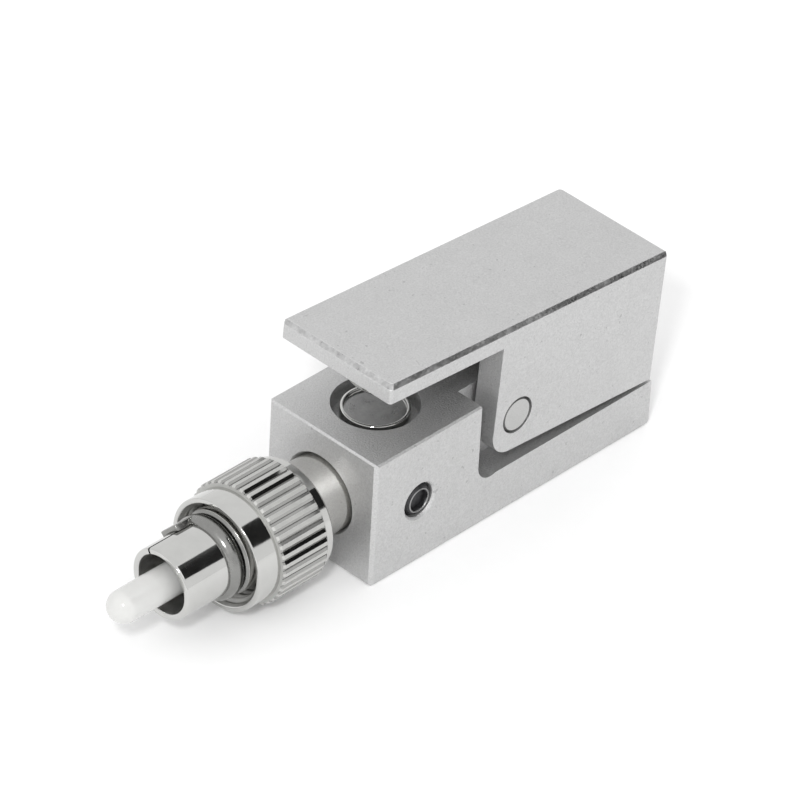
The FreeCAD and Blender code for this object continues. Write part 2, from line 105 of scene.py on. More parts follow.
def number_property(name, description, number):
    return bpy.props.FloatProperty(name=name, description=description, default=number)


class AdapterShape(bpy.types.PropertyGroup):
    edge_round: length_property("Edge round", "Round left on the milled edges by blasting", 0.1)
    bevel_round: length_property("Lever edge round", "Round along the lever's edges and bevels", 0.07)
    upright_flat: length_property("Upright flat", "Flat along the block's upright front corners", 0.29)
    corner_round: length_property("Lever corner round", "Round on the lever's upright corners", 0.45)
    turned_round: length_property("Turned edge round", "Round on the edges of the turned pieces", 0.06)
    knurl_count: bpy.props.IntProperty(name="Knurl grooves", description="Grooves round the nut", default=40)
    knurl_depth: length_property("Knurl depth", "Depth at the foot of a knurl groove", 0.22)
    thread_pitch: length_property("Thread pitch", "Pitch of the nut's inner thread", 0.75)
    thread_height: length_property("Thread height", "Height of the nut's inner thread", 0.3)
    spring_wire: length_property("Return spring wire", "Wire of the spring round the hinge pin", 0.4)
    ferrule_spring_wire: length_property("Ferrule spring wire", "Wire of the spring in the neck", 0.5)


class AdapterFinish(bpy.types.PropertyGroup):
    aluminium: colour_property("Aluminium", "Bead-blasted lever", "#C7C7C7")
    body_aluminium: colour_property("Body aluminium", "Bead-blasted body, a little greyer", "#C6C6C6")
    aluminium_edge: colour_property("Aluminium edge", "Milled bevels, hardly blasted", "#BDBDBD")
    # A touch lighter than the faces: partly wear on the edges, partly a painted highlight along them
    burnished: colour_property("Burnished edge", "Edges closed by blasting and handling", "#CACACA")
    grit: length_property("Blasting grit", "Size of the dimples left by the beads", 0.14)
    nickel: colour_property("Nickel", "Polished plating on the connector", "#C6C6C4")
    rubbed_nickel: colour_property("Rubbed nickel", "Crests of the knurl", "#CCCCCA")
    # Darker flanks of the knurl: painted shade in the grooves
    groove_shade_nickel: colour_property("Groove nickel", "Flanks of the knurl, where dirt stays", "#A2A2A0")
    # Darker inside the bores: painted shade where little light reaches
    bore_shade_nickel: colour_property("Bore nickel", "Thin dull plating inside the bores", "#B4B4B2")
    # Darker collar, key and neck end: painted shade from the nut round them
    collar_shade_nickel: colour_property("Ring nickel", "Darker plating on the beaded collar", "#8E8E8C")
    # Darker cup floor: painted shade under the plate
    cup_shade_nickel: colour_property("Worn nickel", "Rubbed floor of the stop cup", "#9A9A9A")
    satin_nickel: colour_property("Satin nickel", "Plating on the turned neck", "#CFCECB")
    steel: colour_property("Steel", "Ground hinge pin", "#BEBEBD")
    # Dark pin bevel: painted shadow of the gap round the pin
    oiled_steel: colour_property("Oiled steel", "Bevel of the pin, where oil and dust stay", "#6E6E6D")
    spring_steel: colour_property("Spring steel", "Drawn wire", "#A9A8A5")
    screw: colour_property("Screw", "Black oxide on the set screw", "#3A3A3C")
    screw_rim: colour_property("Screw rim", "Rim of the socket, where the oxide is rubbed thin", "#9A9A9A")
    rubber: colour_property("Rubber", "Clamp pads", "#2B2B2C")
    zirconia: colour_property("Zirconia", "Ferrule", "#F2EFE8")
    cap: colour_property("Dust cap", "Soft translucent plastic", "#D2D2D0")


class AdapterStudio(bpy.types.PropertyGroup):
    floor: colour_property("Floor", "White floor under the adapter", "#FAFAFA")
    key_power: number_property("Key lamp", "Power of the large lamp in watts", 0.1)
    front_power: number_property("Front lamp", "Power of the small lamp in front", 0.84)
    spark_power: number_property("Spark lamp", "Power of the small lamp that gives crisp highlights", 0.02)
    focal_length: number_property("Focal length", "Focal length of the camera in mm", 325.7)


def shape():
    return bpy.context.scene.adapter_shape


def finish_of():
    return bpy.context.scene.adapter_finish


def studio():
    return bpy.context.scene.adapter_studio


# Materials


def add(tree, kind, inputs=None, **settings):
    """Add one node, set its attributes, then its inputs: a socket is linked and a value is stored."""
    node = tree.nodes.new("ShaderNode" + kind)
    for name, value in settings.items():
        setattr(node, name, value)
    for name, value in (inputs or {}).items():
        if isinstance(value, bpy.types.NodeSocket):
            tree.links.new(value, node.inputs[name])
        else:
            node.inputs[name].default_value = value
    return node


def new_material(name, **inputs):
    """A material with one principled shader; the inputs are its constants, spaces written as underscores."""
    material = bpy.data.materials.new(name)
    material.use_nodes = True
    tree = material.node_tree
    tree.nodes.clear()
    shader = add(tree, "BsdfPrincipled", {key.replace("_", " "): value for key, value in inputs.items()})
    add(tree, "OutputMaterial", {"Surface": shader.outputs["BSDF"]})
    place = add(tree, "TexCoord").outputs["Object"]
    return material, tree, shader, place


def noise(tree, place, size, detail=2.0, stretch=None):
    """Noise whose blobs are about one size across, in metres; stretch scales the axes apart."""
    if stretch:
        place = add(tree, "Mapping", {"Vector": place, "Scale": stretch}).outputs["Vector"]
    return add(tree, "TexNoise", {"Vector": place, "Scale": 1 / size, "Detail": detail}).outputs["Fac"]


def between(tree, factor, low, high):
    """Spread a pattern's middle range between two numbers."""
    return add(tree, "MapRange", {"Value": factor, "From Min": 0.3, "From Max": 0.7,
                                  "To Min": low, "To Max": high}).outputs["Result"]


def tinted(tree, factor, colour, change):
    """The colour, lighter and darker by the change as the pattern goes."""
    dark = tuple(c * (1 - change) for c in colour[:3]) + (1.0,)
    light = tuple(min(c * (1 + change), 1.0) for c in colour[:3]) + (1.0,)
    return add(tree, "Mix", {0: between(tree, factor, 0.0, 1.0), 6: dark, 7: light},
               data_type="RGBA").outputs[2]


def coat(tree, shader, pattern, colour, change, smooth, rough):
    """Colour and roughness that follow one pattern."""
    tree.links.new(tinted(tree, pattern, colour, change), shader.inputs["Base Color"])
    tree.links.new(between(tree, pattern, smooth, rough), shader.inputs["Roughness"])


def relief(tree, shader, height, depth, strength):
    bump = add(tree, "Bump", {"Height": height, "Distance": depth, "Strength": strength})
    tree.links.new(bump.outputs["Normal"], shader.inputs["Normal"])


def blend_of(tree, share, first, second):
    """Two patterns mixed, with this share of the second."""
    return add(tree, "Mix", {0: share, 2: first, 3: second}, data_type="FLOAT").outputs[0]


def blasted_aluminium(name, colour, speckle):
    """6061 aluminium, bead blasted and clear anodised: the thin oxide skin scatters part of the light, so
    the silver is even and matt, with a fine sparkle of dimples, no direction, and a few dark nicks."""
    material, tree, shader, place = new_material(name, Metallic=0.88)
    dimples = noise(tree, place, finish_of().grit, 3.0)
    clouds = noise(tree, place, 2.5 * MM)
    shade = blend_of(tree, 0.12, dimples, clouds)
    spots = noise(tree, place, 0.5 * MM, 4.0)
    nicks = add(tree, "MapRange", {"Value": spots, "From Min": 0.69, "From Max": 0.72,
                                   "To Min": 0.0, "To Max": 0.4}).outputs["Result"]
    stained = tuple(0.4 * c for c in colour[:3]) + (1.0,)
    painted = add(tree, "Mix", {0: nicks, 6: tinted(tree, shade, colour, speckle), 7: stained},
                  data_type="RGBA")
    tree.links.new(painted.outputs[2], shader.inputs["Base Color"])
    tree.links.new(between(tree, dimples, 0.4, 0.54), shader.inputs["Roughness"])
    relief(tree, shader, dimples, 0.05 * MM, 1.0)
    return material


def milled_aluminium(name, colour):
    """The lever's bevels, hardly blasted: a little darker and smoother, with patches of cutter chatter."""
    material, tree, shader, place = new_material(name, Metallic=1.0)
    chatter = noise(tree, place, 0.25 * MM, 3.0)
    patches = noise(tree, place, 0.9 * MM, stretch=(0.4, 1.0, 1.0))
    coat(tree, shader, blend_of(tree, 0.5, chatter, patches), colour, 0.3, 0.24, 0.42)
    relief(tree, shader, chatter, 0.05 * MM, 0.8)
    return material


def polished_nickel(name, colour):
    """Bright nickel on turned brass: a mirror with faint turning lines and a little haze from handling."""
    material, tree, shader, place = new_material(name, Metallic=1.0)
    haze = noise(tree, place, 1.2 * MM, 3.0)
    turning = noise(tree, place, 0.12 * MM, stretch=(1.0, 0.12, 0.12))
    coat(tree, shader, haze, colour, 0.03, 0.05, 0.12)
    relief(tree, shader, turning, 0.001 * MM, 0.25)
    return material


def rubbed_nickel(name, colour, rough):
    """Nickel dulled by fingers, or left dull on the collar and in the bores: an even, soft grey shine."""
    material, tree, shader, place = new_material(name, Metallic=1.0)
    rub = noise(tree, place, 0.4 * MM, 3.0)
    coat(tree, shader, rub, colour, 0.05, rough, rough + 0.14)
    relief(tree, shader, rub, 0.01 * MM, 0.3)
    return material


def cup_shade_nickel(name, colour):
    """The cup's floor, faced and rubbed by the button: cloudy grey with soft smears."""
    material, tree, shader, place = new_material(name, Metallic=1.0)
    smears = noise(tree, place, 0.9 * MM, 3.0)
    specks = noise(tree, place, 0.15 * MM)
    shade = blend_of(tree, 0.35, smears, specks)
    tree.links.new(tinted(tree, shade, colour, 0.24), shader.inputs["Base Color"])
    tree.links.new(between(tree, smears, 0.25, 0.42), shader.inputs["Roughness"])
    relief(tree, shader, specks, 0.01 * MM, 0.4)
    return material


def satin_nickel(name, colour):
    """Satin nickel on the turned neck: soft highlights broken up by fine grains."""
    material, tree, shader, place = new_material(name, Metallic=1.0)
    grains = noise(tree, place, 0.15 * MM, 3.0)
    coat(tree, shader, grains, colour, 0.06, 0.07, 0.2)
    relief(tree, shader, grains, 0.003 * MM, 0.6)
    return material


def ground_steel(name, colour, size, rough):
    """Ground or drawn steel: fine scratches give a greyer, slightly broken shine."""
    material, tree, shader, place = new_material(name, Metallic=1.0)
    scratches = noise(tree, place, size, 4.0)
    coat(tree, shader, scratches, colour, 0.06, rough, rough + 0.1)
    relief(tree, shader, scratches, 0.003 * MM, 0.3)
    return material


def black_oxide(name, colour):
    """Black oxide on a socket screw: nearly black with an oily sheen, greyer in patches."""
    material, tree, shader, place = new_material(name, Metallic=0.6)
    patches = noise(tree, place, 0.4 * MM, 3.0)
    coat(tree, shader, patches, colour, 0.3, 0.35, 0.5)
    relief(tree, shader, patches, 0.005 * MM, 0.3)
    return material


def clamp_rubber(name, colour):
    """Moulded nitrile rubber: black, dry and a little dusty, with no shine."""
    material, tree, shader, place = new_material(name, Metallic=0.0, IOR=1.52)
    grain = noise(tree, place, 0.2 * MM, 3.0)
    coat(tree, shader, grain, colour, 0.25, 0.7, 0.85)
    relief(tree, shader, grain, 0.02 * MM, 0.4)
    return material


def polished_zirconia(name, colour):
    """Lapped zirconia ceramic: dense white with a glassy shine."""
    material, tree, shader, place = new_material(name, Metallic=0.0, IOR=2.1, Subsurface_Weight=0.2,
                                                 Subsurface_Scale=0.3 * MM)
    coat(tree, shader, noise(tree, place, 0.5 * MM), colour, 0.02, 0.08, 0.14)
    return material


def cap_polyethylene(name, colour):
    """Soft moulded polyethylene: milky, light glows through its thin wall, with a waxy shine."""
    material, tree, shader, place = new_material(name, Metallic=0.0, IOR=1.51, Subsurface_Weight=0.3,
                                                 Subsurface_Scale=0.5 * MM)
    shader.inputs["Subsurface Radius"].default_value = (1.0, 1.0, 1.0)
    wax = noise(tree, place, 0.8 * MM)
    coat(tree, shader, wax, colour, 0.015, 0.12, 0.2)
    relief(tree, shader, wax, 0.01 * MM, 0.2)
    return material


def material_for(slot):
    """The finish of one of the record's material slots, made once under the name of what it is."""
    f = finish_of()
    finishes = {
        "blasted_body": ("bead_blasted_body_aluminium", blasted_aluminium, f.body_aluminium, 0.13),
        "blasted_lever": ("bead_blasted_aluminium", blasted_aluminium, f.aluminium, 0.12),
        "milled_edge": ("milled_aluminium", milled_aluminium, f.aluminium_edge),
        # Lighter edges: partly wear, partly a painted highlight
        "edge_wear_and_highlight": ("burnished_aluminium", blasted_aluminium, f.burnished, 0.14),
        "pin_steel": ("ground_steel", ground_steel, f.steel, 0.1 * MM, 0.3),
        # Dark pin bevel: painted shadow of the gap round the pin
        "pin_bevel": ("oiled_steel", ground_steel, f.oiled_steel, 0.1 * MM, 0.4),
        "washer_steel": ("ground_steel", ground_steel, f.steel, 0.1 * MM, 0.3),
        "spring_steel": ("drawn_spring_steel", ground_steel, f.spring_steel, 0.08 * MM, 0.25),
        "stainless_tube": ("drawn_stainless_steel", ground_steel, f.steel, 0.08 * MM, 0.25),
        "polished_plating": ("polished_nickel_plating", polished_nickel, f.nickel),
        "bright_nickel": ("polished_nickel_plating", polished_nickel, f.nickel),
        "nut_nickel": ("polished_nickel_plating", polished_nickel, f.nickel),
        # Darker cup floor: painted shade under the plate
        "cup_floor": ("rubbed_nickel_plating", cup_shade_nickel, f.cup_shade_nickel),
        # Darker collar: painted shade
        "collar_shade_nickel": ("turned_nickel_plating", rubbed_nickel, f.collar_shade_nickel, 0.16),
        # Darker bores: painted shade
        "bore_shade_nickel": ("dull_nickel_plating", rubbed_nickel, f.bore_shade_nickel, 0.36),
        # Darker knurl flanks: painted shade in the grooves
        "knurl_groove": ("soiled_nickel_plating", polished_nickel, f.groove_shade_nickel),
        "knurl_crest": ("handled_nickel_plating", rubbed_nickel, f.rubbed_nickel, 0.66),
        "satin_nickel": ("satin_nickel_plating", satin_nickel, f.satin_nickel),
        "holder_nickel": ("satin_nickel_plating", satin_nickel, f.satin_nickel),
        "screw_rim": ("rubbed_oxide_steel", ground_steel, f.screw_rim, 0.1 * MM, 0.4),
        "black_screw": ("black_oxide_steel", black_oxide, f.screw),
        "pad_rubber": ("moulded_nitrile_rubber", clamp_rubber, f.rubber),
        "zirconia": ("lapped_zirconia", polished_zirconia, f.zirconia),
        "cap_plastic": ("moulded_polyethylene", cap_polyethylene, f.cap),
    }
    name, make, *settings = finishes[slot]
    return bpy.data.materials.get(name) or make(name, *settings)


# Mesh making


def new_object(name, mesh):
    obj = bpy.data.objects.new(name, mesh)
    bpy.context.scene.collection.objects.link(obj)
    return obj


def solid(name, vertices, faces):
    """An object of these vertices and faces, with doubles joined and every face turned outwards."""
    mesh = bpy.data.meshes.new(name)
    mesh.from_pydata(vertices, [], faces)
    work = bmesh.new()
    work.from_mesh(mesh)
    bmesh.ops.remove_doubles(work, verts=work.verts, dist=1e-8)
    bmesh.ops.recalc_face_normals(work, faces=work.faces)
    work.to_mesh(mesh)
    work.free()
    return new_object(name, mesh)


def shade_smooth(obj):
    obj.data.polygons.foreach_set("use_smooth", [True] * len(obj.data.polygons))


def give_materials(obj, *slots):
    for slot in slots:
        obj.data.materials.append(material_for(slot))


def two_finishes(obj, slot, other, chosen):
    """Finish a piece as one slot says, and the faces that the test picks as the other says."""
    give_materials(obj, slot, other)
    for face in obj.data.polygons:
        if chosen(face):
            face.material_index = 1


def shade_the_inside(obj, centre, slot, reach):
    """Give the faces inside the reach from the axis the dull plating that bores have."""
    def inside(face):
        middle = Vector((0, face.center.y - centre.y, face.center.z - centre.z))
        return middle.length < reach and face.normal.dot(middle) <= 0.3 * middle.length
    two_finishes(obj, slot, "bore_shade_nickel", inside)


def settle(obj, body, node, slot, crease=35.0):
    """Shade, finish and seat one piece in place of its CAD node."""
    shade_smooth(obj)
    obj.data.set_sharp_from_angle(angle=math.radians(crease))
    if not obj.data.materials:
        give_materials(obj, slot)
    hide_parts(node)
    if body:
        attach(obj, body)


def turn_about(centre, angle, axis):
    return Matrix.Translation(centre) @ Matrix.Rotation(angle, 4, axis) @ Matrix.Translation(-centre)


def rounded(outline, radius, steps=3):
    """Round each corner of a closed outline of (along, out) points by an arc of about the radius."""
    points = []
    for i, corner in enumerate(outline):
        here = Vector(corner)
        back = Vector(outline[i - 1]) - here
        on = Vector(outline[(i + 1) % len(outline)]) - here
        angle = back.angle(on, math.pi)
        cut = min(radius / math.tan(angle / 2), 0.4 * back.length, 0.4 * on.length)
        if here.y == 0 or angle > math.radians(170) or cut < 1e-7:
            points.append(here)
            continue
        start = here + back.normalized() * cut
        end = here + on.normalized() * cut
        for k in range(steps + 1):
            t = k / steps
            points.append(start * (1 - t) ** 2 + here * (2 * t * (1 - t)) + end * t ** 2)
    return points


def turned(name, outline, centre=FIBER_AXIS, axis="X", columns=96, form=None, angles=None):
    """Turn a closed outline of (along, radius) points, in metres, round an axis through the centre.
    The form changes a radius by where it is along and round the axis."""
    angles = angles or [2 * math.pi * c / columns for c in range(columns)]
    frames = {"X": ((1, 0, 0), (0, 0, 1), (0, 1, 0)), "Y": ((0, 1, 0), (0, 0, 1), (1, 0, 0)),
              "Z": ((0, 0, 1), (1, 0, 0), (0, 1, 0))}
    along_axis, up, side = (Vector(v) for v in frames[axis])
    vertices = []
    for along, radius in outline:
        for angle in angles:
            r = form(along, radius, angle) if form else radius
            vertices.append(centre + along_axis * along + (up * math.cos(angle) + side * math.sin(angle)) * r)
    n = len(angles)
    faces = []
    for row in range(len(outline)):
        after = (row + 1) % len(outline)
        if outline[row][1] == 0 and outline[after][1] == 0:
            continue
        for c in range(n):
            d = (c + 1) % n
            faces.append((row * n + c, row * n + d, after * n + d, after * n + c))
    return solid(name, vertices, faces)


def soft_edged(obj, width, steps=2, limit=30.0, material=-1):
    """Put a small round on every sharp edge and keep the flats flat; the round can have its own material."""
    bevel = obj.modifiers.new("edge round", "BEVEL")
    bevel.material = material
    bevel.width = width
    bevel.segments = steps
    bevel.limit_method = "ANGLE"
    bevel.angle_limit = math.radians(limit)
    # Without this the wide flats shade as if they were bent by the rounds at their edges
    shade_smooth(obj)
    flats = obj.modifiers.new("flat faces", "WEIGHTED_NORMAL")
    flats.weight = 100
    return apply_modifiers(obj)


def apply_modifiers(obj):
    bpy.context.view_layer.update()
    evaluated = obj.evaluated_get(bpy.context.evaluated_depsgraph_get())
    mesh = bpy.data.meshes.new_from_object(evaluated)
    obj.modifiers.clear()
    obj.data = mesh
    return obj


def copy_of_node(name, node):
    """A copy of a CAD node's mesh with its flat faces joined, ready for finer edges."""
    work = bmesh.new()
    work.from_mesh(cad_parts[node].data)
    bmesh.ops.remove_doubles(work, verts=work.verts, dist=1e-7)
    bmesh.ops.dissolve_limit(work, angle_limit=math.radians(0.5), verts=work.verts, edges=work.edges)
    mesh = bpy.data.meshes.new(name)
    work.to_mesh(mesh)
    work.free()
    return new_object(name, mesh)


def extruded(name, outline, x0, x1):
    """A closed outline of (y, z) points drawn out along X."""
    n = len(outline)
    vertices = [(x, y, z) for x in (x0, x1) for y, z in outline]
    faces = [tuple(range(n)), tuple(range(2 * n - 1, n - 1, -1))]
    faces += [(i, (i + 1) % n, (i + 1) % n + n, i + n) for i in range(n)]
    return solid(name, vertices, faces)


def new_box(name, low, high):
    """A plain cutter for another piece, never a piece itself."""
    (x0, y0, z0), (x1, y1, z1) = low, high
    return extruded(name, [(y0, z0), (y1, z0), (y1, z1), (y0, z1)], x0, x1)


def cut_away(obj, cutter):
    cut = obj.modifiers.new("cut", "BOOLEAN")
    cut.operation = "DIFFERENCE"
    cut.solver = "EXACT"
    cut.object = cutter
    apply_modifiers(obj)
    bpy.data.objects.remove(cutter)


def wire(name, points, diameter, sides=5):
    """Round wire along a smooth run of points."""
    curve = bpy.data.curves.new(name + " path", "CURVE")
    curve.dimensions = "3D"
    curve.bevel_depth = diameter / 2
    curve.bevel_resolution = sides
    curve.use_fill_caps = True
    spline = curve.splines.new("POLY")
    spline.points.add(len(points) - 1)
    for point, place in zip(spline.points, points):
        point.co = (*place, 1.0)
    path = bpy.data.objects.new(name + " path", curve)
    bpy.context.scene.collection.objects.link(path)
    bpy.context.view_layer.update()
    mesh = bpy.data.meshes.new_from_object(path.evaluated_get(bpy.context.evaluated_depsgraph_get()))
    bpy.data.objects.remove(path)
    return new_object(name, mesh)


# Pieces


def round_upright_corners(obj, up, radius):
    """Round the four outer corners that stand along the up direction, and the short mitres above them."""
    work = bmesh.new()
    work.from_mesh(obj.data)
    reach = max(abs(v.co.y) for v in work.verts)
    ends = [v.co - up * v.co.dot(up) for v in work.verts]
    front, rear = max(p.x for p in ends), min(p.x for p in ends)
    upright = []
    for edge in work.edges:
        low, high = sorted((v.co for v in edge.verts), key=up.dot)
        foot = high - up * high.dot(up)
        outer = abs(high.y) > reach - 1e-5 and min(abs(foot.x - front), abs(foot.x - rear)) < 1e-5
        if outer and (high - low).angle(up) < math.radians(1):
            upright.append(edge)
    tops = {max(edge.verts, key=lambda v: up.dot(v.co)) for edge in upright}
    mitres = [edge for top in tops for edge in top.link_edges if edge not in upright
              and all(face.normal.angle(up) < math.radians(60) for face in edge.link_faces)]
    bmesh.ops.bevel(work, geom=upright + mitres, offset=radius, offset_type="OFFSET", segments=6,
                    profile=0.5, affect="EDGES", clamp_overlap=True, material=-1)
    work.to_mesh(obj.data)
    work.free()


def cut_upright_corners(obj, corner, width):
    """Flatten both upright front corners of the body by the width, at 45 degrees."""
    overcut = 1 * MM
    for side in (1, -1):
        cutter = new_box("corner", (0, -overcut, -overcut), (overcut, overcut, corner.z + overcut))
        place = Matrix.Translation((corner.x - width / 2, side * (corner.y - width / 2), 0))
        cutter.data.transform(place @ Matrix.Rotation(side * math.pi / 4, 4, "Z"))
        cut_away(obj, cutter)


def make_body():
    """The body, with its 45 degree edges round the front face burnished."""
    body = copy_of_node("body", "body_block")
    cut_upright_corners(body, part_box("body_block")[1], shape().upright_flat)
    # The front chamfers and all rounds take the lighter edge colour: partly wear, partly a painted highlight
    two_finishes(body, "blasted_body", "edge_wear_and_highlight", lambda face: 0.6 < face.normal.x < 0.8)
    settle(soft_edged(body, shape().edge_round, material=1), "base", "body_block", "blasted_body")


def make_lever():
    """The lever, with its front and near top bevels left as milled."""
    lever = copy_of_node("lever", "clamp_lever")
    give_materials(lever, "blasted_lever", "milled_edge", "edge_wear_and_highlight")
    for face in lever.data.polygons:
        bevelled = math.radians(40) < face.normal.angle(PLATE_UP) < math.radians(50)
        if bevelled and max(face.normal.x, face.normal.y) > 0.5:
            face.material_index = 1
    round_upright_corners(lever, PLATE_UP, shape().corner_round)
    # The lever's rounds take the lighter edge colour: partly wear, partly a painted highlight
    soft_edged(lever, shape().bevel_round, material=2)
    settle(lever, "lever", "clamp_lever", "blasted_lever")


def make_hinge_pin():
    low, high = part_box("hinge_pin")
    half, radius = high.y, (high.z - low.z) / 2
    chamfer, edge = 0.15 * MM, 0.05 * MM
    outline = [(-half, 0), (-half, radius - chamfer), (-half + chamfer, radius),
               (half - chamfer, radius), (half, radius - chamfer), (half, 0)]
    pin = turned("hinge_pin_steel", rounded(outline, edge), PIN_CENTRE, "Y")
    # The pin's bevels take the dark colour: painted shadow of the gap round the pin
    two_finishes(pin, "pin_steel", "pin_bevel",
                 lambda face: abs(face.center.y) > half - chamfer and abs(face.normal.y) < 0.95)
    settle(pin, "base", "hinge_pin", "pin_steel")


def make_return_spring():
    """Three and a third turns round the pin, with a leg on the slot's floor and one under the plate."""
    diameter = shape().spring_wire
    clearance, pitch = 0.05 * MM, 0.45 * MM
    lower_leg_front, upper_foot = 3.5 * MM, 1.6 * MM
    pin_low, pin_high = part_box("hinge_pin")
    radius = (pin_high.z - pin_low.z) / 2 + clearance + diameter / 2
    leg = math.radians(50)
    turns = 3 + (180 - math.degrees(leg)) / 360
    width = pitch * turns
    points = [Vector((lower_leg_front, -width / 2, PIN_Z - radius))]
    count = round(turns * COIL_STEPS)
    for i in range(count + 1):
        angle = 2 * math.pi * turns * i / count
        points.append(Vector((-radius * math.sin(angle), width * i / count - width / 2,
                              PIN_Z - radius * math.cos(angle))))
    tangent = Vector((math.cos(leg), 0, math.sin(leg)))
    rise = PLATE_UNDERSIDE - clearance - diameter / 2 - (points[-1] - PIN_CENTRE).dot(PLATE_UP)
    knee = points[-1] + tangent * (rise / tangent.dot(PLATE_UP))
    points += [knee, knee + PLATE_FORWARD * upper_foot]
    spring = wire("return_spring_wire", points, diameter)
    settle(spring, None, "return_spring", "spring_steel", 60)
    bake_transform(spring)


def make_stop_cup():
    """A shallow dish with a thin rim, on a stud that goes into the block."""
    low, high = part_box("stop_cup")
    centre = (low + high) / 2
    radius = (high.x - low.x) / 2
    wall, depth, edge = 0.3 * MM, 0.4 * MM, 0.12 * MM
    inner, rim_z, floor_z, pocket_z = radius - wall, high.z, high.z - depth, 9.9 * MM
    rings, dish_rise, dish_edge = 8, 0.12 * MM, 0.13 * MM
    dish = [(floor_z + dish_rise * (k / rings) ** 2, inner * k / rings) for k in range(rings)]
    outline = [(low.z, 0), (low.z, STUD_RADIUS), (pocket_z, STUD_RADIUS), (pocket_z, radius),
               (rim_z, radius), (rim_z, inner), (floor_z + dish_edge, inner)]
    outline = rounded(outline, edge, 4) + [Vector(point) for point in reversed(dish)]
    cup = turned("stop_cup_plated", outline, Vector((centre.x, 0, 0)), "Z")
    # The cup's floor takes the darker colour: painted shade under the plate
    two_finishes(cup, "polished_plating", "cup_floor",
                 lambda face: face.normal.z > 0.8 and pocket_z < face.center.z < rim_z - 0.2 * MM)
    settle(cup, "base", "stop_cup", "polished_plating")


def make_press_button():
    """The button hangs square to the tilted plate, so it is turned level and tilted round the pin."""
    place = Vector((9.6 * MM, 0, 0))
    top, bottom = PIN_Z + PLATE_UNDERSIDE, PIN_Z + 4.15 * MM
    face, outer, bevel, edge, stud_length = 2.35 * MM, 2.65 * MM, 0.3 * MM, 0.1 * MM, 0.7 * MM
    outline = [(bottom, 0), (bottom, face), (bottom + bevel, outer), (top, outer),
               (top, STUD_RADIUS), (top + stud_length, STUD_RADIUS), (top + stud_length, 0)]
    button = turned("press_button_plated", rounded(outline, edge, 4), place, "Z")
    button.data.transform(turn_about(PIN_CENTRE, -REST_TILT, "Y"))
    settle(button, "lever", "press_button", "polished_plating")


def make_clamp_pads():
    """Two rubber pads, the lower one with a groove for the fiber."""
    edge, groove = 0.06 * MM, 0.18 * MM
    low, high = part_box("lower_clamp_pad")
    outline = [(low.y, low.z), (low.y, high.z), (-groove, high.z), (0, high.z - groove), (groove, high.z),
               (high.y, high.z), (high.y, low.z)]
    pad = soft_edged(extruded("lower_pad_rubber", outline, low.x, high.x), edge)
    settle(pad, "base", "lower_clamp_pad", "pad_rubber")
    low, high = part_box("upper_clamp_pad")
    outline = [(low.y, low.z), (low.y, high.z), (high.y, high.z), (high.y, low.z)]
    pad = soft_edged(extruded("upper_pad_rubber", outline, low.x, high.x), edge)
    settle(pad, "lever", "upper_clamp_pad", "pad_rubber")


def make_set_screw():
    """A threaded screw with a hexagon socket in a rubbed rim."""
    low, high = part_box("set_screw")
    centre = (low + high) / 2
    radius = (high.x - low.x) / 2
    socket, rim, depth = 0.86 * MM, 1.04 * MM, 0.45 * MM
    chamfer, pitch, thread_depth = 0.2 * MM, 0.5 * MM, 0.2 * MM
    face = BODY_SIDE - 0.05 * MM

    def screw_form(along, r, angle):
        if abs(r - socket) < 1e-9:
            sector = (angle + math.pi / 6) % (math.pi / 3) - math.pi / 6
            return socket / math.cos(sector)
        if r > radius - 1e-7:
            turn = (along / pitch + angle / (2 * math.pi)) % 1
            return radius - thread_depth * abs(2 * turn - 1)
        return r

    rows, threaded = 16, high.y - low.y - 2 * chamfer
    outline = [(low.y, 0), (low.y, radius - chamfer)]
    outline += [(low.y + chamfer + threaded * k / rows, radius) for k in range(rows + 1)]
    # The outer end: a bevel, the rim and a countersink down into the socket
    outline += [(high.y, radius - 0.05 * MM), (face - 0.04 * MM, rim + 0.02 * MM), (face, rim - 0.03 * MM),
                (face, rim - 0.07 * MM), (face - 0.08 * MM, socket + 0.07 * MM),
                (face - 0.16 * MM, socket), (face - depth, socket), (face - depth, 0)]
    screw = turned("set_screw_oxide", outline, Vector((centre.x, 0, centre.z)), "Y", 72, screw_form)
    two_finishes(screw, "black_screw", "screw_rim", lambda polygon: polygon.center.y > face - 0.05 * MM)
    settle(screw, "base", "set_screw", "black_screw")


def make_guide_tube():
    low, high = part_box("guide_tube")
    flare, outer, bore = 1.0 * MM, 0.6 * MM, 0.3 * MM
    flare_wall, flare_length, edge = 0.3 * MM, 0.5 * MM, 0.08 * MM
    outline = [(low.x, flare - flare_wall), (low.x, flare), (low.x + flare_length, outer), (high.x, outer),
               (high.x, bore), (low.x + flare_length, bore)]
    tube = turned("guide_tube_steel", rounded(outline, edge), columns=48)
    settle(tube, "base", "guide_tube", "stainless_tube")


def make_neck():
    """The neck, whose end that faces the key ring lies in the nut's mouth, where the plating stays dull."""
    edge, chamfer = shape().turned_round, 0.2 * MM
    low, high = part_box("connector_body")
    neck, shoulder, bore = 3.25 * MM, (high.z - low.z) / 2, 0.62 * MM
    shoulder_rear, barrel_rear, cavity_rear = 24.4 * MM, 24.6 * MM, 17.5 * MM
    outline = [(low.x, bore), (low.x, neck - chamfer), (low.x + chamfer, neck), (shoulder_rear, neck),
               (shoulder_rear, shoulder - chamfer), (shoulder_rear + chamfer, shoulder),
               (high.x - chamfer, shoulder), (high.x, shoulder - chamfer), (high.x, SLEEVE_SEAT),
               (barrel_rear, SLEEVE_SEAT), (barrel_rear, SLEEVE_BORE), (cavity_rear, SLEEVE_BORE),
               (cavity_rear, bore)]
    body = turned("connector_neck", rounded(outline, edge))
    # The neck's end in the nut's mouth takes the darker collar colour: painted shade
    two_finishes(body, "satin_nickel", "collar_shade_nickel",
                 lambda face: face.center.x > high.x - chamfer + edge and face.normal.x > 0.5)
    settle(body, "base", "connector_body", "satin_nickel")


